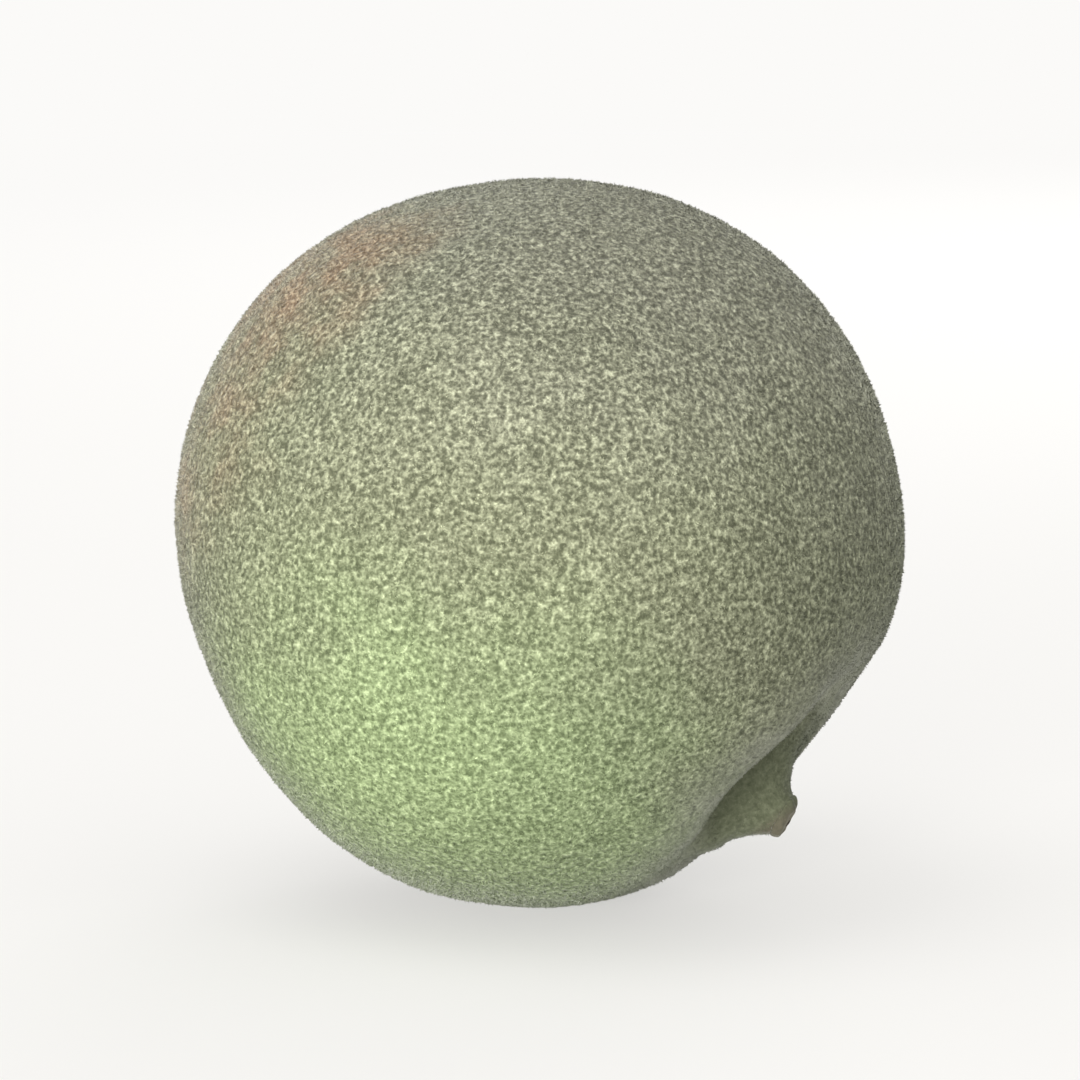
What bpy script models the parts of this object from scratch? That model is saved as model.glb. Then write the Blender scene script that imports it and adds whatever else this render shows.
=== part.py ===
"""Baobab fruit pod, picked and lying on its side.

It has two pieces: the round, faintly five-lobed pod, and the stub of its stalk, which flares out of a
shallow hollow in the pod's stem end. Metres, +Z up. The origin is the middle of the small flat spot
that the pod rests on. The stem end points down, to the right (+X) and a little to the front (-Y).

Both pieces are shaped in the pod's own axes, where the origin is the middle of the pod and +Z runs out
through its stem end, and are then laid down in that pose.
"""

import math

import bmesh
import bpy
from mathutils import Matrix, Vector

# The pod
POD_RADIUS = 0.0500  # mean radius of the belt, so the pod is about 100 mm across
LOBES = 5
LOBE_RISE = 0.0009  # how far a lobe stands proud of the mean radius, on the belt
# Places where the skin stands proud of the lobed ball, or is flatter than it where the rise is less
# than nothing: angle from the stem end, turn about the axis, rise, and the angle it spreads over.
SWELLS = (
    (math.radians(176), 0.0, 0.0023, math.radians(36)),
    (math.radians(97), 0.0, 0.0009, math.radians(27)),
    (math.radians(80), math.pi, 0.0007, math.radians(24)),
    (math.radians(111), math.pi, -0.0018, math.radians(29)),
    (math.radians(12), 0.0, -0.0010, math.radians(14)),
)
POD_SEGMENTS = 56
POD_RINGS = 44
RING_CROWDING = 0.45  # draws the rings towards the stem end, where the shape turns fastest

# The hollow in the stem end
HOLLOW_DEPTH = 0.0112
HOLLOW_REACH = 0.0154
HOLLOW_OFFSET = -0.0030  # along the pod's own X, from its axis
HOLLOW_PLEATS = 0.09  # share of the depth by which the lobes scallop the hollow

# The stub of the stalk
STALK_OFFSET = -0.0067  # along the pod's own X, from its axis
STALK_SEAT = 0.0410  # height of the flat patch in the hollow that the stalk stands on
STALK_FOOT_RADIUS = 0.0106
STALK_FOOT_EDGE = 0.0004
STALK_NECK_RADIUS = 0.0031
STALK_NECK_HEIGHT = 0.0494
FLARE_POWER = 1.3
FLARE_RINGS = 9
KNOB_RADIUS = 0.0034
KNOB_TOP = 0.0515
KNOB_EDGE = 0.0006
SCAR_DEPTH = 0.0005
PITH_RADIUS = 0.0012
STALK_STEPS = 32
PATCH_MARGIN = 0.0010  # the flat patch is this much wider than the stalk's foot
PATCH_BLEND = 0.0022  # width over which the patch runs out into the hollow
JOINT_GAP = 0.0003  # the space between the stalk's foot and the patch

# The pose
STEM_DIP = math.radians(37.7)  # how far the stem end points below the horizon
STEM_HEADING = math.radians(-17.6)  # from +X towards -Y
POD_ROLL = math.radians(164.3)
REST_DEPTH = 0.0009  # how much of the round underside is flattened where it rests

# Colours and roughness
POD_GREEN = (0.34, 0.38, 0.24, 1.0)
STALK_OLIVE = (0.20, 0.21, 0.12, 1.0)
VELVET_ROUGHNESS = 0.9
STALK_ROUGHNESS = 0.8

WELD_DISTANCE = 0.00001


def fresh_collection(name):
    """Empties the scene and returns a new collection for the object."""
    for old in list(bpy.data.objects):
        bpy.data.objects.remove(old)
    made = bpy.data.collections.new(name)
    bpy.context.scene.collection.children.link(made)
    return made


def material(name, colour, roughness):
    made = bpy.data.materials.new(name)
    made.use_nodes = True
    shader = made.node_tree.nodes["Principled BSDF"]
    shader.inputs["Base Color"].default_value = colour
    shader.inputs["Roughness"].default_value = roughness
    shader.inputs["Metallic"].default_value = 0.0
    return made


def add_object(name, mesh, collection, finish):
    """Links a mesh as a named object with its material, shaded smooth."""
    made = bpy.data.objects.new(name, mesh)
    mesh.materials.append(finish)
    mesh.shade_smooth()
    collection.objects.link(made)
    return made


def smoothstep(low, high, value):
    share = min(max((value - low) / (high - low), 0.0), 1.0)
    return share * share * (3 - 2 * share)


def direction(polar, turn):
    """The unit vector at a polar angle from +Z and a turn about +Z from +X."""
    return Vector((math.sin(polar) * math.cos(turn), math.sin(polar) * math.sin(turn), math.cos(polar)))


def body_radius(towards):
    """Distance from the pod's middle to its skin, before the hollow is pressed in."""
    across = math.hypot(towards.x, towards.y)
    turn = math.atan2(towards.y, towards.x)
    radius = POD_RADIUS + LOBE_RISE * math.cos(LOBES * turn) * across**2
    for polar, swell_turn, rise, reach in SWELLS:
        away = towards.angle(direction(polar, swell_turn))
        radius += rise * math.exp(-((away / reach) ** 2))
    return radius


def hollow_depth(x, y):
    """How far the stem end is pressed in at a place, scalloped by the lobes away from its middle."""
    away = math.hypot(x - HOLLOW_OFFSET, y)
    fall = math.exp(-((away / HOLLOW_REACH) ** 2))
    scallop = HOLLOW_PLEATS * (1 - fall) * math.cos(LOBES * math.atan2(y, x - HOLLOW_OFFSET))
    return HOLLOW_DEPTH * fall * (1 - scallop)


def skin_point(towards):
    """The point of the pod's skin in a direction from its middle, hollow and stalk's patch included."""
    point = towards * body_radius(towards)
    if point.z <= 0:
        return point
    point.z -= hollow_depth(point.x, point.y)
    patch = STALK_FOOT_RADIUS + PATCH_MARGIN
    from_stalk = math.hypot(point.x - STALK_OFFSET, point.y)
    point.z += (STALK_SEAT - point.z) * (1 - smoothstep(patch, patch + PATCH_BLEND, from_stalk))
    return point


def laid_down():
    """The turn that lays the pod in its pose, without the lift onto the ground."""
    return (
        Matrix.Rotation(STEM_HEADING, 4, "Z")
        @ Matrix.Rotation(math.pi / 2 + STEM_DIP, 4, "Y")
        @ Matrix.Rotation(POD_ROLL, 4, "Z")
    )


def build_pod(collection, finish):
    """The pod: a ball whose skin is moved by formula, flattened underneath where it rests."""
    bm = bmesh.new()
    bmesh.ops.create_uvsphere(bm, u_segments=POD_SEGMENTS, v_segments=POD_RINGS, radius=1.0)
    for vertex in bm.verts:
        polar = math.acos(min(max(vertex.co.z, -1.0), 1.0))
        turn = math.atan2(vertex.co.y, vertex.co.x)
        vertex.co = skin_point(direction(polar - RING_CROWDING * math.sin(polar), turn))
    turned = laid_down()
    lowest = min((turned @ vertex.co for vertex in bm.verts), key=lambda point: point.z)
    lift = -(lowest.z + REST_DEPTH)
    pose = Matrix.Translation((-lowest.x, -lowest.y, lift)) @ turned
    down = turned.inverted() @ Vector((0, 0, -1))
    bmesh.ops.bisect_plane(
        bm,
        geom=bm.verts[:] + bm.edges[:] + bm.faces[:],
        dist=WELD_DISTANCE,
        plane_co=pose.inverted() @ Vector((0, 0, 0)),
        plane_no=down,
        clear_outer=True,
    )
    rim = [edge for edge in bm.edges if edge.is_boundary]
    bmesh.ops.edgeloop_fill(bm, edges=rim)
    bmesh.ops.recalc_face_normals(bm, faces=bm.faces[:])
    mesh = bpy.data.meshes.new("pod")
    bm.to_mesh(mesh)
    bm.free()
    pod = add_object("pod", mesh, collection, finish)
    pod.matrix_world = pose
    return pod


def stalk_profile():
    """Half of the stub's section, from the middle of its foot to the middle of its broken end."""
    foot = STALK_SEAT + JOINT_GAP
    outline = [(0.0, foot), (STALK_FOOT_RADIUS, foot)]
    for ring in range(FLARE_RINGS + 1):
        share = ring / FLARE_RINGS
        radius = STALK_NECK_RADIUS + (STALK_FOOT_RADIUS - STALK_NECK_RADIUS) * (1 - share) ** FLARE_POWER
        start = foot + STALK_FOOT_EDGE
        outline.append((radius, start + (STALK_NECK_HEIGHT - start) * share))
    outline.append((KNOB_RADIUS, STALK_NECK_HEIGHT + KNOB_EDGE))
    outline.append((KNOB_RADIUS, KNOB_TOP - KNOB_EDGE))
    outline.append((KNOB_RADIUS - KNOB_EDGE, KNOB_TOP))
    outline.append((PITH_RADIUS, KNOB_TOP))
    outline.append((PITH_RADIUS / 2, KNOB_TOP - SCAR_DEPTH))
    outline.append((0.0, KNOB_TOP - SCAR_DEPTH))
    return outline


def build_stem(collection, finish, pod):
    """The stub of the stalk: its section turned about its own axis with a Screw modifier."""
    outline = stalk_profile()
    mesh = bpy.data.meshes.new("stem")
    edges = [(index, index + 1) for index in range(len(outline) - 1)]
    mesh.from_pydata([(radius, 0.0, height) for radius, height in outline], edges, [])
    stem = add_object("stem", mesh, collection, finish)
    turned = stem.modifiers.new("turned", "SCREW")
    turned.axis = "Z"
    turned.angle = 2 * math.pi
    turned.steps = STALK_STEPS
    turned.render_steps = STALK_STEPS
    turned.use_merge_vertices = True
    turned.merge_threshold = WELD_DISTANCE
    turned.use_normal_calculate = True
    turned.use_smooth_shade = True
    stem.parent = pod
    stem.location = (STALK_OFFSET, 0, 0)
    return stem


def main():
    collection = fresh_collection("baobab_fruit_pod")
    pod = build_pod(collection, material("velvet_skin", POD_GREEN, VELVET_ROUGHNESS))
    build_stem(collection, material("stalk", STALK_OLIVE, STALK_ROUGHNESS), pod)


if __name__ == "__main__":
    main()
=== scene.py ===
"""Looks of a baobab fruit pod: a round fruit with a short, dense velvet, lying on its side.

The pod's skin and the stub of its stalk are shaped in the pod's own axes, where the origin is the
middle of the pod and +Z runs out through its stem end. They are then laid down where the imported
solids lie. All lengths are in metres.
"""

import math

import bpy
import numpy as np
from bpy.props import FloatProperty, FloatVectorProperty, IntProperty, PointerProperty
from bpy.types import Operator, Panel, PropertyGroup
from mathutils import Matrix, Vector, noise


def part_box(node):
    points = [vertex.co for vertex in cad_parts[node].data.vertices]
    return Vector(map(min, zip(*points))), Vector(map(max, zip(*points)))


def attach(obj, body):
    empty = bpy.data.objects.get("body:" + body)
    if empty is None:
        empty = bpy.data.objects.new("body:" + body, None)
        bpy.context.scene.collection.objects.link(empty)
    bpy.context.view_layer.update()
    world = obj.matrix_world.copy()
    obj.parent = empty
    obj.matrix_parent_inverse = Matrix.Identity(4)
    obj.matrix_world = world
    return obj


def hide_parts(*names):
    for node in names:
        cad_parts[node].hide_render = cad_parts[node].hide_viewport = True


bl_info = {
    "name": "Baobab fruit pod",
    "version": (1, 0, 0),
    "blender": (4, 5, 0),
    "location": "View3D > Sidebar > Baobab pod",
    "description": "Builds the velvety skin, the stalk and the stage of a baobab fruit pod",
    "category": "Object",
}

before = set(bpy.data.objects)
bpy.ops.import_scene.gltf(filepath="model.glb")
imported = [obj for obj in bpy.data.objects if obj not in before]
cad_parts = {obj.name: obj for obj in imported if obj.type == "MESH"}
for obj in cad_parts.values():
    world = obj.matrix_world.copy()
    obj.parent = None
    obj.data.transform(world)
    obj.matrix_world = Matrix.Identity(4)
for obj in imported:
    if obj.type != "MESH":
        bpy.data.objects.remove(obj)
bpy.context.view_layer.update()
POD_LOW, POD_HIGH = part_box("pod")

COLLECTION = "baobab_fruit_pod"

# The pod's own axes laid down, as the solids are
STEM_DIP = math.radians(37.7)
STEM_HEADING = math.radians(-17.6)
POD_ROLL = math.radians(164.3)
STEEP_TURN = math.radians(90)  # the side of the stalk where the hollow is deepest
FALLING_TURN = math.radians(140)  # the side where the flare keeps falling out to the lip

# Places where the skin stands proud of the lobed ball, or is flatter where the rise is below 0:
# angle from the stem end, turn about the axis, rise, and the angle it spreads over.
SWELLS = (
    (math.radians(176), 0.0, 0.0023, math.radians(36)),
    (math.radians(97), 0.0, 0.0009, math.radians(27)),
    (math.radians(80), math.pi, 0.0007, math.radians(24)),
    (math.radians(111), math.pi, -0.0018, math.radians(29)),
    (math.radians(12), 0.0, -0.0010, math.radians(14)),
)

# The stalk's foot, as distances from the stalk's axis
FLARE_BLEND = (0.016, 0.021)  # where the flare gives way to the hollow
STUB_FOOT = 0.0088  # outermost ring of the stub, sunk under the skin
TUFTS_MEET = (0.0078, 0.0084)  # the skin's tufts start at one, the stub's stop at the other
STUB_SIDE_HEIGHT = 0.036  # skin below this height is away from the stub

# The lip around the hollow, as distances from lip_middle: a paler band of painted sheen on the lip,
# a painted highlight on its crest and painted shade around the stem end
LIP_RISE = (0.010, 0.0155)
LIP_FALL = (0.0180, 0.0330)
LIP_TUFTS_FALL = (0.0175, 0.026)
# Painted highlight along the crest of the lip
CREST_HIGHLIGHT_RISE = (0.0118, 0.0142)
CREST_HIGHLIGHT_FALL = (0.0150, 0.0185)
# Painted shade towards the stem end fades out over this span
STEM_END_SHADE_FALL = (0.034, 0.058)
# The stalk's dark colour, partly painted shade, fills the hollow out to this span
HOLLOW_FALL = (0.0075, 0.0185)  # from stalk_foot

# Sides of the pod that differ in colour or carry painted light or shade, as it lies: the direction
# each faces from the middle
# Greener velvet low on the near side, also brighter there as painted light where the key light
# falls
GREEN_AND_LIT_SIDE = (-0.30, -0.68, -0.67)
GREY_SIDE = (0.25, 0.05, 1.0)
SHOULDER_SIDE = (-0.64, -0.22, 0.74)
FLANK_SIDE = (-0.93, -0.18, 0.30)
# Painted shade on the lower back-left side, turned from the lights
PAINTED_SHADE_SIDE = (-0.50, 0.55, -0.67)
# A greyer back, also darkened there as painted shade
GREY_AND_SHADED_BACK_SIDE = (-0.28, 0.90, -0.33)

# Sizes of the noise in the materials
COARSE_CLUMPS = 0.00070
FINE_CLUMPS = 0.00034
COLOUR_PATCHES = 0.018
BLUSH_BLOTCHES = 0.007
# Patches that vary the painted sheen and the painted highlight on the lip
SHEEN_AND_HIGHLIGHT_PATCHES = 0.006
KNOB_GRAIN = 0.0006
SCAR_CELLS = 0.00035

SHEEN = {"Sheen_Weight": 0.18, "Sheen_Roughness": 0.4, "Sheen_Tint": (0.85, 0.88, 0.78)}
BUMP = {"Strength": 0.6, "Distance": 0.0003}

BALL_LEVELS = 7
STUB_STEPS = 96
TUFT_SEED = 71
TUFTS_PER_PIECE = 49_000  # four faces each, which keeps a piece under 200,000 faces
TUFT_PIECES = ("velvet_tufts_a", "velvet_tufts_b", "velvet_tufts_c")
TUFTS_ON_STUB = 0.02  # share of each piece's tufts that stand on the stub
TUFT_CORNERS = 4
FLOOR_REACH = 4.0
LIT_HEIGHT = 0.045  # the lights aim at this height over the origin


def length(name, description, default):
    """A property that holds a length in metres."""
    return FloatProperty(
        name=name,
        description=description,
        default=default,
        unit="LENGTH",
        subtype="DISTANCE",
        precision=5,
    )


def colour(name, description, default):
    """A property that holds a linear colour."""
    return FloatVectorProperty(
        name=name,
        description=description,
        default=default,
        subtype="COLOR",
        size=3,
        min=0.0,
        max=1.0,
    )


class BaobabPodSizes(PropertyGroup):
    """Sizes of the pod's skin."""

    pod_radius: length("Pod radius", "Mean radius of the belt", 0.0500)
    lobes: IntProperty(name="Lobes", description="Faint lobes around the pod", default=5, min=0)
    lobe_rise: length("Lobe rise", "How far a lobe stands proud of the mean radius", 0.0009)
    hollow_depth: length("Hollow depth", "Depth of the hollow in the stem end", 0.0112)
    hollow_reach: length("Hollow reach", "How far the hollow spreads from its middle", 0.0154)
    hollow_offset: length("Hollow offset", "Middle of the hollow along the pod's own X", -0.0030)
    wrinkle_depth: length("Wrinkle depth", "Depth of the fine folds around the stalk", 0.00016)
    unevenness: length("Unevenness", "Height of the slow waves all over the skin", 0.00022)


class BaobabStalkSizes(PropertyGroup):
    """Sizes of the stub of the stalk."""

    offset: length("Stalk offset", "Middle of the stalk along the pod's own X", -0.0067)
    neck_radius: length("Neck radius", "Radius where the flare ends and the knob begins", 0.0031)
    neck_height: length("Neck height", "Height of the neck above the pod's middle", 0.0492)
    flare_floor: length("Flare floor", "Height that the flare sinks towards", 0.0447)
    flare_reach: length("Flare reach", "How fast the flare widens below the neck", 0.0033)
    knob_radius: length("Knob radius", "Radius of the broken end", 0.0031)
    knob_top: length("Knob top", "Height of the broken end above the pod's middle", 0.0507)
    pith_radius: length("Pith radius", "Radius of the pit in the broken end", 0.0009)


class BaobabVelvetLooks(PropertyGroup):
    """Sizes and colours of the velvet."""

    tuft_length: length("Tuft length", "Mean length of a tuft", 0.00052)
    tuft_width: length("Tuft width", "Width of a tuft at its foot", 0.00040)
    # Brighter than the olive: partly the velvet's colour, partly painted light on the lit lower
    # side
    green: colour("Green", "Velvet low on the near side", (0.292, 0.385, 0.176))
    olive: colour("Olive", "Velvet over most of the pod", (0.225, 0.243, 0.143))
    pale: colour("Pale", "Tint of the palest tufts", (0.375, 0.385, 0.295))
    # Painted sheen where it pales the lip; a greyer colour on the back
    silver: colour("Silver", "Paler velvet on the lip and the back", (0.296, 0.298, 0.258))
    grey: colour("Grey", "Velvet that has dried grey", (0.268, 0.266, 0.206))
    blush: colour("Blush", "Pinkish tan flush on the shoulder", (0.325, 0.218, 0.132))
    # Also painted shade where it darkens the hollow and the stub
    stalk: colour("Stalk", "Velvet of the stalk and the hollow", (0.062, 0.076, 0.033))
    bark: colour("Bark", "Bare side of the stalk's knob", (0.096, 0.088, 0.060))
    scar: colour("Scar", "Ring of the broken end", (0.145, 0.130, 0.092))
    pith: colour("Pith", "Dark pit in the middle of the broken end", (0.06, 0.04, 0.024))


class BaobabStageLooks(PropertyGroup):
    """The floor, the light and the camera."""

    floor: colour("Floor", "Pale floor", (0.83, 0.823, 0.81))
    backdrop: colour("Backdrop", "Light all around", (0.965, 0.956, 0.940))
    overhead_light: FloatProperty(
        name="Overhead light",
        description="Strength of the surround above, against 1 all around",
        default=0.76,
    )
    camera_elevation: FloatProperty(
        name="Camera elevation",
        description="Above the horizon",
        default=math.radians(9),
        subtype="ANGLE",
    )
    focal_length: FloatProperty(name="Focal length", description="In millimetres", default=180.0)
    framed_width: length("Framed width", "Width of the view at the pod", 0.150)


def collection():
    """The collection that holds the object's pieces."""
    made = bpy.data.collections.get(COLLECTION)
    if made is None:
        made = bpy.data.collections.new(COLLECTION)
        bpy.context.scene.collection.children.link(made)
    return made


def smoothstep(low, high, value):
    """0 below low, 1 above high, and a soft rise between them."""
    share = np.clip((value - low) / (high - low), 0.0, 1.0)
    return share * share * (3 - 2 * share)


def smooth_highest(first, second, blend):
    """The higher of two heights, with a soft valley where they meet."""
    mixed = np.clip(0.5 + 0.5 * (first - second) / blend, 0.0, 1.0)
    return second + (first - second) * mixed + blend * mixed * (1 - mixed)


def slow_noise(points, scale, seed):
    """Smooth noise from about -1 to 1 at points, with features about as large as scale."""
    shift = Vector((seed * 7.13, seed * 3.71, seed * 5.37))
    return np.array([noise.noise(Vector(point) / scale + shift) for point in points.tolist()])


def laid_down():
    """The turn that lays the pod in its pose."""
    turned = (
        Matrix.Rotation(STEM_HEADING, 3, "Z")
        @ Matrix.Rotation(math.pi / 2 + STEM_DIP, 3, "Y")
        @ Matrix.Rotation(POD_ROLL, 3, "Z")
    )
    return np.array(turned)


def body_points(towards, sizes):
    """Points of the lobed body in directions from its middle, before the hollow is pressed in."""
    across = np.hypot(towards[:, 0], towards[:, 1])
    turn = np.arctan2(towards[:, 1], towards[:, 0])
    radii = sizes.pod_radius + sizes.lobe_rise * np.cos(sizes.lobes * turn) * across**2
    for polar, swell_turn, rise, reach in SWELLS:
        middle = np.array(
            (
                math.sin(polar) * math.cos(swell_turn),
                math.sin(polar) * math.sin(swell_turn),
                math.cos(polar),
            )
        )
        away = np.arccos(np.clip(towards @ middle, -1.0, 1.0))
        radii = radii + rise * np.exp(-((away / reach) ** 2))
    return towards * radii[:, None]


def hollow_depths(points, sizes):
    """How far the stem end is pressed in at points, with fine folds around the stalk."""
    x = points[:, 0] - sizes.hollow_offset
    y = points[:, 1]
    away = np.hypot(x, y)
    turn = np.arctan2(y, x)
    fall = np.exp(-((away / sizes.hollow_reach) ** 2))
    scallop = 0.09 * (1 - fall) * np.cos(sizes.lobes * turn)
    folds = np.cos(17 * turn + 2.1 * np.sin(3 * turn)) + 0.6 * np.cos(29 * turn + 1.0)
    ring = smoothstep(0.005, 0.009, away) * (1 - smoothstep(0.011, 0.019, away))
    return sizes.hollow_depth * fall * (1 - scallop) + sizes.wrinkle_depth * folds * ring


def flare_heights(away, turn, stalk):
    """Height of the stalk's flare above the pod's middle, by distance and turn from its axis."""
    steep = np.maximum(0.0, np.cos(turn - STEEP_TURN)) ** 2.2
    falling = 0.5 + 0.5 * np.cos(turn - FALLING_TURN)
    fall = falling * smoothstep(0.008, 0.016, away)
    floor = stalk.flare_floor - 0.0080 * steep - 0.0042 * fall
    reach = stalk.flare_reach * (1 - 0.08 * np.cos(turn) + 0.25 * steep)
    return floor + (stalk.neck_height - floor) * np.exp(-(away - stalk.neck_radius) / reach)


def skin_points(towards, sizes, stalk):
    """Points of the skin in directions from the middle, with the hollow and the stalk's flare."""
    points = body_points(towards, sizes)
    stem_side = points[:, 2] > 0
    pressed = points[:, 2] - hollow_depths(points, sizes)
    away = np.hypot(points[:, 0] - stalk.offset, points[:, 1])
    turn = np.arctan2(points[:, 1], points[:, 0] - stalk.offset)
    flare = np.minimum(flare_heights(away, turn, stalk), stalk.neck_height - 0.0030)
    raised = smooth_highest(pressed, flare, 0.0024)
    near = 1 - smoothstep(*FLARE_BLEND, away)
    points[:, 2] = np.where(stem_side, pressed + (raised - pressed) * near, points[:, 2])
    return points


def lay(points, shift):
    """Own-axes points turned and moved to where the solids lie."""
    return points @ laid_down().T + shift


class Value:
    """A number from a shader socket. Arithmetic on it adds Math nodes."""

    def __init__(self, paint, socket):
        self.paint = paint
        self.socket = socket

    def _math(self, operation, first, second):
        inputs = {0: first, 1: second}
        return self.paint.node("ShaderNodeMath", {"operation": operation}, inputs)

    def __add__(self, other):
        return self._math("ADD", self, other)

    def __radd__(self, other):
        return self._math("ADD", other, self)

    def __sub__(self, other):
        return self._math("SUBTRACT", self, other)

    def __rsub__(self, other):
        return self._math("SUBTRACT", other, self)

    def __mul__(self, other):
        return self._math("MULTIPLY", self, other)

    def __rmul__(self, other):
        return self._math("MULTIPLY", other, self)

class Paint:
    """The node tree of a material or world, and short ways to add to it."""

    def __init__(self, owner, shader="Principled BSDF"):
        owner.use_nodes = True
        self.owner = owner
        self.tree = owner.node_tree
        self.shader = self.tree.nodes[shader]

    def node(self, kind, settings=None, inputs=None, output=0):
        """Adds a node: its settings are set first, then values or links of its sockets."""
        made = self.tree.nodes.new(kind)
        for setting, value in (settings or {}).items():
            setattr(made, setting, value)
        for socket, value in (inputs or {}).items():
            self.feed(made.inputs[socket], value)
        return Value(self, made.outputs[output])

    def feed(self, socket, value):
        """Links a socket to another's output, or sets it to a plain value."""
        if isinstance(value, Value):
            self.tree.links.new(value.socket, socket)
        elif socket.type == "RGBA":
            socket.default_value = (*value[:3], 1.0)
        else:
            socket.default_value = value

    def finish(self, **inputs):
        """Feeds the shader; underscores in names stand for spaces."""
        for name, value in inputs.items():
            self.feed(self.shader.inputs[name.replace("_", " ")], value)
        return self.owner

    def overlay(self, share, other):
        """Mixes another shader over this one, by a share from 0 to 1."""
        plain = Value(self, self.shader.outputs["BSDF"])
        mixed = self.node("ShaderNodeMixShader", None, {0: share, 1: plain, 2: other})
        out = next(node for node in self.tree.nodes if node.type == "OUTPUT_MATERIAL")
        self.tree.links.new(mixed.socket, out.inputs["Surface"])

    def place(self):
        """Where a point of the surface lies."""
        return self.node("ShaderNodeTexCoord", output="Object")

    def attribute(self, name):
        """A number stored on the mesh's points."""
        return self.node("ShaderNodeAttribute", {"attribute_name": name}, output="Fac")

    def noise(self, where, size, detail, roughness):
        """Noise from 0 to 1 with features about as large as size, in metres."""
        inputs = {"Vector": where, "Scale": 1.0 / size, "Detail": detail, "Roughness": roughness}
        return self.node("ShaderNodeTexNoise", {"noise_dimensions": "3D"}, inputs)

    def ramp(self, value, low, high, interpolation="SMOOTHSTEP"):
        """0 below low, 1 above high."""
        inputs = {"Value": value, "From Min": low, "From Max": high}
        return self.node("ShaderNodeMapRange", {"interpolation_type": interpolation}, inputs)

    def mix(self, share, first, second):
        """A mix of two colours."""
        inputs = {0: share, 6: first, 7: second}
        return self.node("ShaderNodeMix", {"data_type": "RGBA"}, inputs, 2)

    def shade(self, tint, brightness):
        """A colour times a number."""
        inputs = {0: tint, "Scale": brightness}
        return self.node("ShaderNodeVectorMath", {"operation": "SCALE"}, inputs)

    def facing(self, where, middle, towards):
        """How squarely places lie in a direction from the pod's middle: 1 there, -1 opposite."""
        inputs = {0: where, 1: tuple(middle)}
        offset = self.node("ShaderNodeVectorMath", {"operation": "SUBTRACT"}, inputs)
        unit = self.node("ShaderNodeVectorMath", {"operation": "NORMALIZE"}, {0: offset})
        inputs = {0: unit, 1: tuple(Vector(towards).normalized())}
        return self.node("ShaderNodeVectorMath", {"operation": "DOT_PRODUCT"}, inputs, "Value")

    def distance(self, where, point):
        """How far places are from a point."""
        inputs = {0: where, 1: tuple(point)}
        return self.node("ShaderNodeVectorMath", {"operation": "DISTANCE"}, inputs, "Value")


def pod_middle():
    """Where the pod's middle lies, set when its skin is built."""
    return Vector(bpy.context.scene["pod_middle"])


def stalk_foot(stalk):
    """Where the stalk's axis meets the bottom of the hollow."""
    own = np.array([[stalk.offset, 0.0, stalk.flare_floor + 0.003]])
    return Vector(lay(own, np.array(pod_middle()))[0])


def lip_middle():
    """A point over the hollow: the lip lies about as far from it all the way round."""
    sizes = bpy.context.scene.baobab_sizes
    own = np.array([[sizes.hollow_offset, 0.0, sizes.pod_radius * 0.82]])
    return Vector(lay(own, np.array(pod_middle()))[0])


def lip_sheen_share(paint, where):
    """Where the painted sheen lies: 1 on the lip around the hollow, falling to 0 inside it and over
    the rest of the pod.
    """
    away = paint.distance(where, lip_middle())
    return paint.ramp(away, *LIP_RISE) * (1 - paint.ramp(away, *LIP_FALL))


def hollow_colour_and_shade(paint, where, stalk):
    """Where the stalk's dark colour and painted shade lie: 1 at the foot of the stalk and over its
    stub, falling to 0 at the lip.
    """
    return 1 - paint.ramp(paint.distance(where, stalk_foot(stalk)), *HOLLOW_FALL)


def felt(paint, where, looks, stalk):
    """The velvet's colour in pale and dark clumps, and how pale each clump is, from 0 to 1."""
    coarse = paint.noise(where, COARSE_CLUMPS, 1.0, 0.5)
    fine = paint.noise(where, FINE_CLUMPS, 1.0, 0.5)
    # Grain contrast is lower over the lip and the hollow: on the lip this is part of its painted
    # sheen
    smooth = 1 - paint.ramp(paint.distance(where, lip_middle()), *LIP_FALL)
    above = paint.ramp(paint.facing(where, pod_middle(), (0.0, 0.0, 1.0)), -0.6, 0.8)
    contrast = 2.45 + above * 0.75 - smooth * 1.75
    clumps = 0.42 + (coarse * 0.7 + fine * 0.3 - 0.5) * contrast
    clumps = paint.ramp(clumps, 0.0, 1.0, "LINEAR")
    tint = velvet_colour(paint, where, looks, stalk)
    tint = paint.mix(clumps * 0.35, tint, looks.pale)
    return paint.shade(tint, 0.42 + clumps * 0.62 + clumps * clumps * 0.66), clumps


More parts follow.
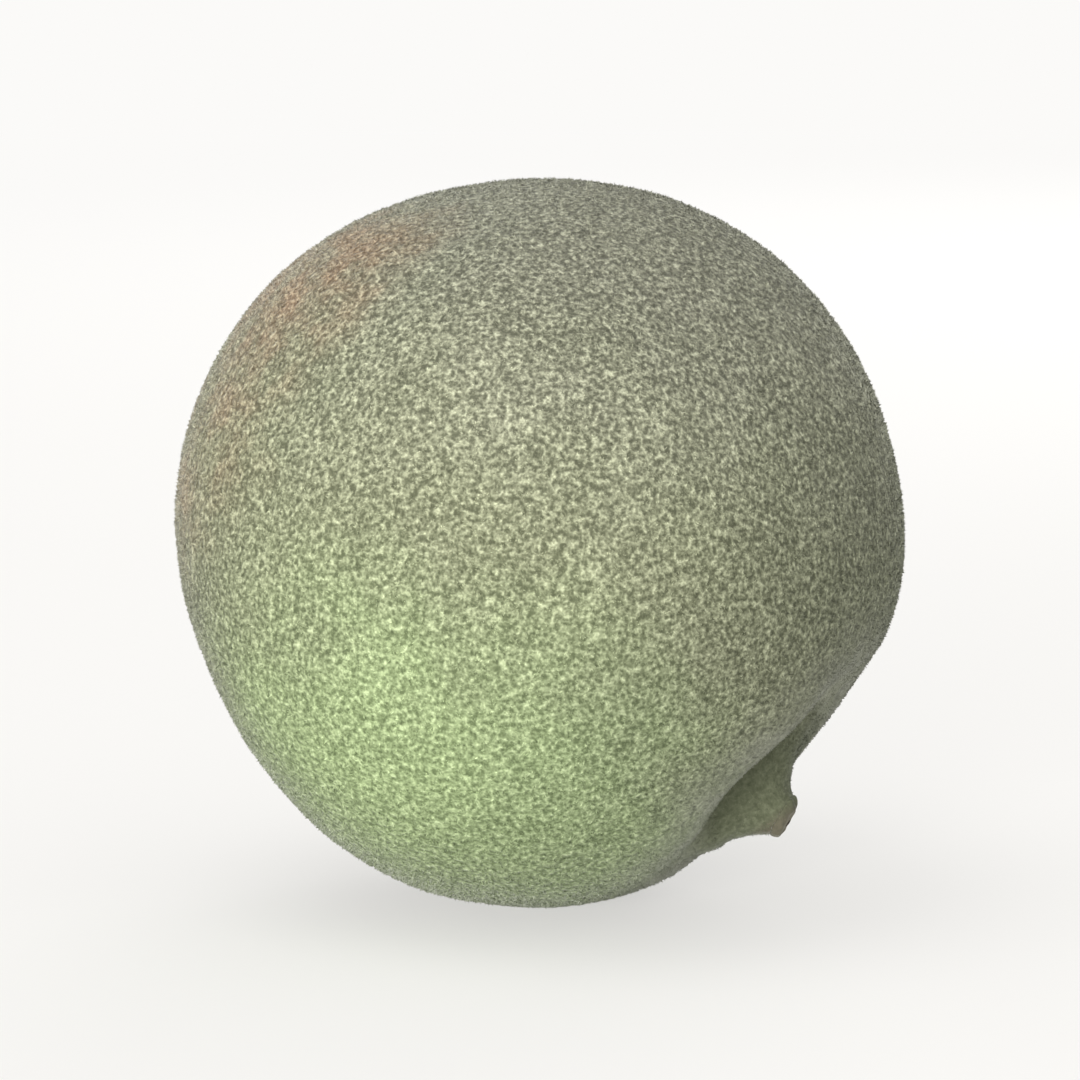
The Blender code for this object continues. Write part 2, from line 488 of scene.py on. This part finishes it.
def velvet_colour(paint, where, looks, stalk):
    """The velvet's colour without its clumps: green low on the near side, brightened there as
    painted light, and grey on top and behind.

    A blush lies on the shoulder and the flank. Painted shade darkens the velvet towards the stem
    end, on the lower back-left side and on the greyer back; the lip is paler with painted sheen and
    a painted highlight on its crest, and the hollow takes the stalk's dark colour, partly as
    painted shade.
    """
    patches = paint.noise(where, COLOUR_PATCHES, 3.0, 0.55)
    drift = (patches - 0.5) * 0.5

    def side(towards, waver, low, high):
        """1 on one side of the pod, with a border that wavers with the patches."""
        return paint.ramp(paint.facing(where, pod_middle(), towards) + drift * waver, low, high)

    # Greener, brighter velvet low on the near side: partly its colour, partly painted light
    tint = paint.mix(side(GREEN_AND_LIT_SIDE, 0.6, 0.50, 0.98), looks.olive, looks.green)
    tint = paint.mix(side(GREY_SIDE, 1.0, 0.0, 1.0) * 0.85, tint, looks.grey)
    blotches = 0.45 + 0.75 * paint.ramp(paint.noise(where, BLUSH_BLOTCHES, 2.0, 0.6), 0.35, 0.65)
    tint = paint.mix(side(SHOULDER_SIDE, 0.4, 0.88, 1.0) * blotches, tint, looks.blush)
    tint = paint.mix(side(FLANK_SIDE, 0.4, 0.88, 1.0) * blotches * 0.6, tint, looks.blush)
    # Painted shade on the lower back-left side, turned from the lights
    painted_underside_shade = side(PAINTED_SHADE_SIDE, 0.3, 0.0, 0.85)
    # Greyer velvet on the back; the darkening by this mask below is painted shade
    back = side(GREY_AND_SHADED_BACK_SIDE, 0.3, -0.35, 0.65)
    tint = paint.mix(back * 0.50, tint, looks.silver)
    away = paint.distance(where, lip_middle())
    # Painted shade darkening the velvet towards the stem end
    stem_end_shade = 1 - paint.ramp(away, *STEM_END_SHADE_FALL)
    tint = paint.shade(tint, (1 - stem_end_shade * 0.29) * (1 - painted_underside_shade * 0.36) * (0.86 + patches * 0.28))
    # Painted shade on the back
    tint = paint.shade(tint, 1 - back * 0.14)
    # Painted sheen: a paler band on the lip, varied in patches
    sheen_and_highlight_patches = paint.ramp(paint.noise(where, SHEEN_AND_HIGHLIGHT_PATCHES, 2.0, 0.6), 0.35, 0.65)
    tint = paint.mix(lip_sheen_share(paint, where) * (0.25 + sheen_and_highlight_patches * 0.35), tint, looks.silver)
    # Painted highlight along the crest of the lip
    crest_highlight = paint.ramp(away, *CREST_HIGHLIGHT_RISE) * (1 - paint.ramp(away, *CREST_HIGHLIGHT_FALL))
    tint = paint.shade(tint, 1 + crest_highlight * (0.20 + sheen_and_highlight_patches * 0.30))
    # The stalk's dark colour in the hollow, partly painted shade there
    return paint.mix(hollow_colour_and_shade(paint, where, stalk) * 0.85, tint, looks.stalk)


def skin_material(looks, stalk):
    """Felted skin under the tufts: dark and light grains, a little bump and a soft sheen."""
    paint = Paint(bpy.data.materials.new("velvet_skin"))
    base, clumps = felt(paint, paint.place(), looks, stalk)
    return paint.finish(
        Base_Color=paint.shade(base, 0.92),
        Normal=paint.node("ShaderNodeBump", None, {**BUMP, "Height": clumps}),
        Roughness=0.92,
        Specular_IOR_Level=0.2,
        **SHEEN,
    )


def tuft_material(looks, stalk):
    """Velvet tufts: coloured as the clump they stand in, darker at the foot, each its own shade."""
    paint = Paint(bpy.data.materials.new("velvet_tufts"))
    base, _ = felt(paint, paint.place(), looks, stalk)
    brightness = (0.72 + paint.attribute("own_shade") * 0.56) * (
        0.90 + paint.attribute("along") * 0.35
    )
    return paint.finish(
        Base_Color=paint.shade(base, brightness),
        Roughness=0.8,
        Specular_IOR_Level=0.25,
        **SHEEN,
    )


def add_piece(name, mesh, material):
    """Links a mesh as a piece that rides with the pod."""
    made = bpy.data.objects.new(name, mesh)
    mesh.materials.append(material)
    collection().objects.link(made)
    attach(made, "root")
    return made


def ball_mesh(name, levels):
    """A ball of even, square-like faces: a cube divided by a modifier and blown up round."""
    cube = bpy.data.meshes.new(name + "_start")
    corners = [(x, y, z) for x in (-1, 1) for y in (-1, 1) for z in (-1, 1)]
    sides = [(0, 1, 3, 2), (4, 6, 7, 5), (0, 4, 5, 1), (2, 3, 7, 6), (0, 2, 6, 4), (1, 5, 7, 3)]
    cube.from_pydata(corners, [], sides)
    start = bpy.data.objects.new(name + "_start", cube)
    bpy.context.scene.collection.objects.link(start)
    divided = start.modifiers.new("divided", "SUBSURF")
    divided.subdivision_type = "SIMPLE"
    divided.levels = levels
    divided.render_levels = levels
    graph = bpy.context.evaluated_depsgraph_get()
    mesh = bpy.data.meshes.new_from_object(start.evaluated_get(graph))
    bpy.data.objects.remove(start)
    bpy.data.meshes.remove(cube)
    mesh.name = name
    return mesh


def get_places(mesh):
    """The places of a mesh's points, one row each."""
    places = np.empty(len(mesh.vertices) * 3, np.float32)
    mesh.vertices.foreach_get("co", places)
    return places.reshape(-1, 3)


def set_places(mesh, places):
    """Moves a mesh's points to new places."""
    mesh.vertices.foreach_set("co", places.astype(np.float32).ravel())
    mesh.update()


def store(mesh, name, values):
    """Stores a number on each point of a mesh, for its material."""
    made = mesh.attributes.new(name, "FLOAT", "POINT")
    made.data.foreach_set("value", np.asarray(values, np.float32))


def mesh_triangles(mesh):
    """Corner places, smooth normals and areas of a mesh's triangles."""
    mesh.calc_loop_triangles()
    count = len(mesh.loop_triangles)
    corners = np.empty(count * 3, np.int32)
    mesh.loop_triangles.foreach_get("vertices", corners)
    areas = np.empty(count, np.float32)
    mesh.loop_triangles.foreach_get("area", areas)
    normals = np.empty(len(mesh.vertices) * 3, np.float32)
    mesh.vertex_normals.foreach_get("vector", normals)
    corners = corners.reshape(-1, 3)
    return get_places(mesh)[corners], normals.reshape(-1, 3)[corners], areas


class BAOBAB_OT_pod_skin(Operator):
    """Builds the pod's skin, with its hollow and the flare that runs up the stalk"""

    bl_idname = "baobab.pod_skin"
    bl_label = "Pod skin"

    def execute(self, context):
        settings = context.scene
        sizes, stalk = settings.baobab_sizes, settings.baobab_stalk
        mesh = ball_mesh("pod_skin", BALL_LEVELS)
        even = np.tan(get_places(mesh).astype(float) * math.pi / 4)
        towards = even / np.linalg.norm(even, axis=1)[:, None]
        polar = np.arccos(np.clip(towards[:, 2], -1.0, 1.0))
        turn = np.arctan2(towards[:, 1], towards[:, 0])
        polar = polar - 0.3 * np.sin(polar)  # closer together at the stem end
        across = np.sin(polar)
        towards = np.stack((across * np.cos(turn), across * np.sin(turn), np.cos(polar)), 1)
        own = skin_points(towards, sizes, stalk)
        waves = slow_noise(own, 0.014, 1) + 0.5 * slow_noise(own, 0.006, 2)
        own = own + towards * (sizes.unevenness * waves)[:, None]
        turned = own @ laid_down().T
        low, high = turned.min(0), turned.max(0)
        shift = (np.array(POD_LOW) + np.array(POD_HIGH) - low - high) / 2
        shift[2] = POD_HIGH[2] - high[2]
        settings["pod_middle"] = tuple(float(number) for number in shift)
        places = turned + shift
        places[:, 2] = np.maximum(places[:, 2], 0.0)
        set_places(mesh, places)
        mesh.shade_smooth()
        material = skin_material(settings.baobab_velvet, stalk)
        skin = add_piece("pod_skin", mesh, material)
        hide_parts("pod")
        return {"FINISHED"}


class BAOBAB_OT_stalk(Operator):
    """Builds the stub of the stalk, from its flare in the hollow to its broken end"""

    bl_idname = "baobab.stalk"
    bl_label = "Stalk"

    def execute(self, context):
        settings = context.scene
        stalk, looks = settings.baobab_stalk, settings.baobab_velvet
        rings = self.rings(stalk)
        neck = stalk.neck_height
        steps = STUB_STEPS
        turns = np.arange(steps) * 2 * math.pi / steps
        ridges = 0.5 * np.cos(5 * turns + 0.6) + 0.35 * np.cos(9 * turns)
        ridges += 0.2 * np.cos(16 * turns + 2)
        points = []
        for radius, height, rough in rings:
            out = radius * (1 + rough * ridges)
            if height is None:
                sunk = 0.00055 * smoothstep(0.0060, STUB_FOOT, radius)
                heights = flare_heights(radius, turns, stalk) + 0.00006 - sunk
            else:
                heights = np.full(steps, height)
            bent = smoothstep(neck - 0.0030, neck + 0.0012, heights)
            x = stalk.offset + out * np.cos(turns) + 0.0005 * bent
            heights = heights - 0.20 * bent * out * np.cos(turns)
            points.append(np.stack((x, out * np.sin(turns), heights), 1))
        own = np.concatenate(points)
        rough = 0.00010 + 0.00022 * smoothstep(neck - 0.001, stalk.knob_top, own[:, 2])
        own = own + (rough * slow_noise(own, 0.0013, 5))[:, None] * np.array((1.0, 1.0, 0.6))
        own = np.concatenate((own, [[own[-steps:, 0].mean(), 0.0, rings[-1][1]]]))
        faces = []
        for ring in range(len(rings) - 1):
            for step in range(steps):
                after = (step + 1) % steps
                low, high = ring * steps, (ring + 1) * steps
                faces.append((low + step, low + after, high + after, high + step))
        last = (len(rings) - 1) * steps
        tip = len(own) - 1
        faces += [(last + step, last + (step + 1) % steps, tip) for step in range(steps)]
        faces.append(tuple(reversed(range(steps))))
        mesh = bpy.data.meshes.new("stalk_stub")
        mesh.from_pydata(lay(own, np.array(pod_middle())).tolist(), [], faces)
        store(mesh, "along_stalk", own[:, 2])
        store(mesh, "from_axis", np.hypot(own[:, 0] - own[-1, 0], own[:, 1]))
        store(mesh, "side", own[:, 0] - stalk.offset)
        mesh.shade_smooth()
        stub = add_piece("stalk_stub", mesh, self.material(stalk, looks))
        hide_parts("stem")
        return {"FINISHED"}

    def rings(self, stalk):
        """Radius, height and ridge depth of each ring, from under the skin to the end's pit."""
        made = []
        for radius in np.linspace(STUB_FOOT, stalk.neck_radius, 30):
            made.append((float(radius), None, 0.012))
        neck, top, knob = stalk.neck_height, stalk.knob_top, stalk.knob_radius
        edge = 0.0010
        for share in (0.33, 0.67):
            made.append((stalk.neck_radius - 0.0001, neck + share * (top - edge - neck), 0.02))
        for share in np.linspace(0, 1, 10):
            angle = math.radians(-25 + 115 * share)
            rise = edge * math.sin(angle)
            made.append((knob - edge + edge * math.cos(angle), top - edge + rise, 0.03))
        for share in np.linspace(0.15, 1, 8):
            radius = (knob - edge) * (1 - share) + stalk.pith_radius * share
            made.append((radius, top - 0.00012 * math.sin(share * math.pi), 0.02))
        for share in np.linspace(0.2, 1, 6):
            radius = stalk.pith_radius * math.cos(share * math.pi / 2) + 0.00005
            made.append((radius, top - 0.0005 * math.sin(share * math.pi / 2), 0.01))
        return made

    def material(self, stalk, looks):
        """Velvety flare like the skin around it, bare brown knob with painted shade on its +X side,
        paler scar with a dark pit.
        """
        paint = Paint(bpy.data.materials.new("stalk"))
        where = paint.place()
        height = paint.attribute("along_stalk")
        away = paint.attribute("from_axis")
        side = paint.attribute("side")
        base, _ = felt(paint, where, looks, stalk)
        grain = paint.noise(where, KNOB_GRAIN, 3.0, 0.6)
        edge = height - side * 0.25 + (grain - 0.5) * 0.0012
        bare = paint.ramp(edge, stalk.neck_height - 0.0010, stalk.neck_height + 0.0012)
        # Painted shade: the bark is darker on the knob's +X side, which turns from the key light
        knob_shaded_side = paint.ramp(side, 0.0, 0.0035)
        bark = paint.shade(looks.bark, (0.6 + grain * 0.8) * (1 - knob_shaded_side * 0.35))
        tint = paint.mix(bare, base, bark)
        top, knob = stalk.knob_top, stalk.knob_radius
        face = paint.ramp(height + side * 0.2, top - 0.0006, top - 0.0001)
        inside = 1 - paint.ramp(away, knob - 0.0014, knob - 0.0005)
        cells = paint.noise(where, SCAR_CELLS, 2.0, 0.6)
        scar = paint.shade(looks.scar, 0.65 + cells * 0.7)
        tint = paint.mix(face * inside, tint, scar)
        pit = 1 - paint.ramp(away, stalk.pith_radius * 0.7, stalk.pith_radius * 1.25)
        tint = paint.mix(pit * face, tint, looks.pith)
        return paint.finish(
            Base_Color=tint,
            Normal=paint.node("ShaderNodeBump", None, {**BUMP, "Height": grain}),
            Roughness=0.88,
            Specular_IOR_Level=0.25,
            **SHEEN,
        )


def rooted_sites(draw, name, count):
    """Places and normals spread evenly over a piece's surface, in the order of its faces."""
    corners, normals, areas = mesh_triangles(bpy.data.objects[name].data)
    areas = areas.astype(float)
    picked = np.sort(draw.choice(len(areas), size=count, p=areas / areas.sum()))
    first, second = draw.random(count), draw.random(count)
    over = first + second > 1
    first[over], second[over] = 1 - first[over], 1 - second[over]
    shares = np.stack((1 - first - second, first, second), 1)[:, :, None]
    places = (corners[picked] * shares).sum(1)
    ups = (normals[picked] * shares).sum(1)
    return places, ups / np.linalg.norm(ups, axis=1)[:, None]


def velvet_sites(draw, count, stalk):
    """Places, normals and sizes of the tufts of one piece: on the pod, and smaller on the stub."""
    wanted = {
        "pod_skin": round(count * (1 - TUFTS_ON_STUB)),
        "stalk_stub": round(count * TUFTS_ON_STUB),
    }
    skin_starts, stub_stops = TUFTS_MEET
    sites = []
    for name, number in wanted.items():
        places, ups = rooted_sites(draw, name, int(number * 1.5))
        own = (places - np.array(pod_middle())) @ laid_down()
        away = np.hypot(own[:, 0] - stalk.offset, own[:, 1])
        if name == "pod_skin":
            off_stub = (away > skin_starts) | (own[:, 2] < STUB_SIDE_HEIGHT)
            room = off_stub & (places[:, 2] > 0.0003)
            size = np.full(len(places), 1.0)
        else:
            rim = stalk.neck_height + 0.0001 - 0.2 * (own[:, 0] - stalk.offset)
            room = (away < stub_stops) & (own[:, 2] < rim)
            size = np.full(len(places), 0.65)
        kept = np.sort(draw.permutation(np.flatnonzero(room))[:number])
        sites.append((places[kept], ups[kept], size[kept]))
    return [np.concatenate(part) for part in zip(*sites)]


def tuft_mesh(name, places, ups, aims, widths, draw):
    """Closed three-sided spikes, one at each place, rooted just under the skin."""
    count = len(places)
    side = np.cross(ups, draw.normal(size=(count, 3)))
    side /= np.linalg.norm(side, axis=1)[:, None]
    other = np.cross(ups, side)
    rooted = places - ups * (widths * 0.35)[:, None]
    verts = np.empty((count, TUFT_CORNERS, 3))
    for corner in range(3):
        angle = corner * 2 * math.pi / 3
        out = side * math.cos(angle) + other * math.sin(angle)
        verts[:, corner] = rooted + out * (widths * 0.5)[:, None]
    verts[:, 3] = places + aims
    numbers = np.arange(count)[:, None] * TUFT_CORNERS
    feet = numbers + np.array([0, 2, 1])
    sides = numbers[:, None, :] + np.array([[0, 1, 3], [1, 2, 3], [2, 0, 3]])[None]
    sides = sides.reshape(-1, 3)
    faces = np.concatenate((feet, sides))
    mesh = bpy.data.meshes.new(name)
    mesh.vertices.add(count * TUFT_CORNERS)
    mesh.vertices.foreach_set("co", verts.astype(np.float32).ravel())
    mesh.loops.add(faces.size)
    mesh.loops.foreach_set("vertex_index", faces.astype(np.int32).ravel())
    mesh.polygons.add(len(faces))
    mesh.polygons.foreach_set("loop_start", np.arange(len(faces), dtype=np.int32) * 3)
    mesh.update(calc_edges=True)
    grid = math.ceil(math.sqrt(count))
    cell = np.stack((np.arange(count) % grid, np.arange(count) // grid), 1) / grid
    shape = np.array([[0.22, 0.22], [0.78, 0.22], [0.5, 0.8]]) / grid
    foot_uv = cell[:, None, :] + shape[None]
    side_uv = np.repeat(foot_uv, 3, axis=0)
    layer = mesh.uv_layers.new(name="OFBake")
    uv = np.concatenate((foot_uv, side_uv))
    layer.data.foreach_set("uv", uv.astype(np.float32).ravel())
    store(mesh, "along", np.tile([0, 0, 0, 1], count))
    # Shaded mostly as the skin under them, so that the velvet looks soft
    leaning = ups + 0.35 * aims / np.linalg.norm(aims, axis=1)[:, None]
    leaning = leaning / np.linalg.norm(leaning, axis=1)[:, None]
    normals = np.repeat(leaning, TUFT_CORNERS, axis=0)
    mesh.normals_split_custom_set_from_vertices(normals.tolist())
    return mesh


class BAOBAB_OT_velvet(Operator):
    """Grows the velvet: short three-sided tufts all over the pod and the stub of its stalk"""

    bl_idname = "baobab.velvet"
    bl_label = "Velvet"

    def execute(self, context):
        settings = context.scene
        looks, stalk = settings.baobab_velvet, settings.baobab_stalk
        draw = np.random.default_rng(TUFT_SEED)
        material = tuft_material(looks, stalk)
        middle = np.array(lip_middle())
        for name in TUFT_PIECES:
            places, ups, size = velvet_sites(draw, TUFTS_PER_PIECE, stalk)
            count = len(places)
            away = np.linalg.norm(places - middle, axis=1)
            # On the lip the tufts are smaller and their tones more even, going with its painted
            # sheen
            lip = smoothstep(*LIP_RISE, away) * (1 - smoothstep(*LIP_TUFTS_FALL, away))
            size = size * draw.uniform(0.75, 1.2, count) * (1 - 0.35 * lip)
            size = size * (0.45 + 0.55 * smoothstep(0.0, 0.004, places[:, 2]))
            combed = draw.normal(size=(count, 3))
            combed -= ups * (combed * ups).sum(1)[:, None]
            combed /= np.linalg.norm(combed, axis=1)[:, None]
            lift = draw.uniform(0.25, 0.75, count)[:, None]
            reach = (looks.tuft_length * size * draw.uniform(0.75, 1.2, count))[:, None]
            aims = (combed * np.sqrt(1 - lift**2) + ups * lift) * reach
            aims[:, 2] = np.maximum(aims[:, 2], 0.0001 - places[:, 2])
            mesh = tuft_mesh(name, places, ups, aims, looks.tuft_width * size, draw)
            shade = np.clip(0.5 + draw.normal(0, 0.25, count) * (1 - 0.7 * lip), 0, 1)
            store(mesh, "own_shade", np.repeat(shade, TUFT_CORNERS))
            add_piece(name, mesh, material)
        return {"FINISHED"}


class BAOBAB_OT_stage(Operator):
    """Sets out the pale floor, the soft lights and the camera"""

    bl_idname = "baobab.stage"
    bl_label = "Stage"

    def execute(self, context):
        looks = context.scene.baobab_stage
        self.floor(looks)
        self.world(looks)
        self.light("key_light", (-0.36, -1.04, 0.05), 0.50, 21.5, (1.0, 0.985, 0.96))
        self.light("top_light", (-0.30, -0.20, 1.00), 0.70, 2.0, (1.0, 1.0, 0.98))
        self.light("back_light", (0.35, 1.05, 0.45), 0.70, 5.0, (1.0, 1.0, 0.98))
        self.camera(context, looks)
        context.scene.view_settings.view_transform = "Standard"
        return {"FINISHED"}

    def floor(self, looks):
        """A pale floor that glows towards its far parts, so that it meets the surround."""
        near, far = -FLOOR_REACH, FLOOR_REACH
        corners = [(near, near, 0), (far, near, 0), (far, far, 0), (near, far, 0)]
        mesh = bpy.data.meshes.new("floor")
        mesh.from_pydata(corners, [], [(0, 1, 2, 3)])
        paint = Paint(bpy.data.materials.new("floor"))
        away = paint.distance(paint.place(), (0, 0, 0))
        light = {"Color": looks.backdrop, "Strength": 1.0}
        glow = paint.node("ShaderNodeEmission", None, light, "Emission")
        paint.finish(Base_Color=looks.floor, Roughness=0.9, Specular_IOR_Level=0.1)
        paint.overlay(0.56 + 0.44 * paint.ramp(away, 0.25, 1.3), glow)
        floor = bpy.data.objects.new("floor", mesh)
        mesh.materials.append(paint.owner)
        bpy.context.scene.collection.objects.link(floor)

    def world(self, looks):
        """An even pale surround, dimmer above."""
        world = bpy.data.worlds.new("soft_surround")
        bpy.context.scene.world = world
        paint = Paint(world, "Background")
        axes = {"Vector": paint.node("ShaderNodeTexCoord", output="Generated")}
        height = paint.node("ShaderNodeSeparateXYZ", None, axes, "Z")
        dimmed = paint.ramp(height, 0.05, 0.40) * (1 - looks.overhead_light)
        paint.finish(Color=looks.backdrop, Strength=1 - dimmed)

    def light(self, name, place, size, power, tint):
        """A round soft light that faces the pod."""
        lamp = bpy.data.lights.new(name, "AREA")
        lamp.shape = "DISK"
        lamp.size = size
        lamp.energy = power
        lamp.color = tint
        made = bpy.data.objects.new(name, lamp)
        made.location = place
        aim = Vector((0, 0, LIT_HEIGHT)) - Vector(place)
        made.rotation_euler = aim.to_track_quat("-Z", "Y").to_euler()
        bpy.context.scene.collection.objects.link(made)

    def camera(self, context, looks):
        """A long lens in front of the pod, a little above it."""
        lens = bpy.data.cameras.new("camera")
        lens.lens = looks.focal_length
        lens.clip_start = 0.01
        away = looks.framed_width * looks.focal_length / lens.sensor_width
        made = bpy.data.objects.new("camera", lens)
        across, height = ((POD_LOW[axis] + POD_HIGH[axis]) / 2 for axis in (0, 2))
        target = Vector((across, 0, height))
        rise = looks.camera_elevation
        made.location = target + Vector((0, -math.cos(rise), math.sin(rise))) * away
        made.rotation_euler = (math.pi / 2 - rise, 0, 0)
        context.scene.collection.objects.link(made)
        context.scene.camera = made


class BAOBAB_PT_pod(Panel):
    """Buttons for each part of the pod, and its sizes and colours"""

    bl_idname = "BAOBAB_PT_pod"
    bl_label = "Baobab fruit pod"
    bl_space_type = "VIEW_3D"
    bl_region_type = "UI"
    bl_category = "Baobab pod"

    def draw(self, context):
        layout = self.layout
        for operator in (BAOBAB_OT_pod_skin, BAOBAB_OT_stalk, BAOBAB_OT_velvet, BAOBAB_OT_stage):
            layout.operator(operator.bl_idname)
        for group, holder in GROUPS.items():
            box = layout.box()
            for name in holder.__annotations__:
                box.prop(getattr(context.scene, group), name)


GROUPS = {
    "baobab_sizes": BaobabPodSizes,
    "baobab_stalk": BaobabStalkSizes,
    "baobab_velvet": BaobabVelvetLooks,
    "baobab_stage": BaobabStageLooks,
}

CLASSES = (
    *GROUPS.values(),
    BAOBAB_OT_pod_skin,
    BAOBAB_OT_stalk,
    BAOBAB_OT_velvet,
    BAOBAB_OT_stage,
    BAOBAB_PT_pod,
)


def register():
    """Adds the properties, operators and panel."""
    for item in CLASSES:
        bpy.utils.register_class(item)
    for group, holder in GROUPS.items():
        setattr(bpy.types.Scene, group, PointerProperty(type=holder))


def unregister():
    """Takes them away again."""
    for group in GROUPS:
        delattr(bpy.types.Scene, group)
    for item in reversed(CLASSES):
        bpy.utils.unregister_class(item)


def main():
    """Builds everything: the skin, the stalk, the velvet and the stage."""
    register()
    bpy.ops.baobab.pod_skin()
    bpy.ops.baobab.stalk()
    bpy.ops.baobab.velvet()
    bpy.ops.baobab.stage()


if __name__ == "__main__":
    main()
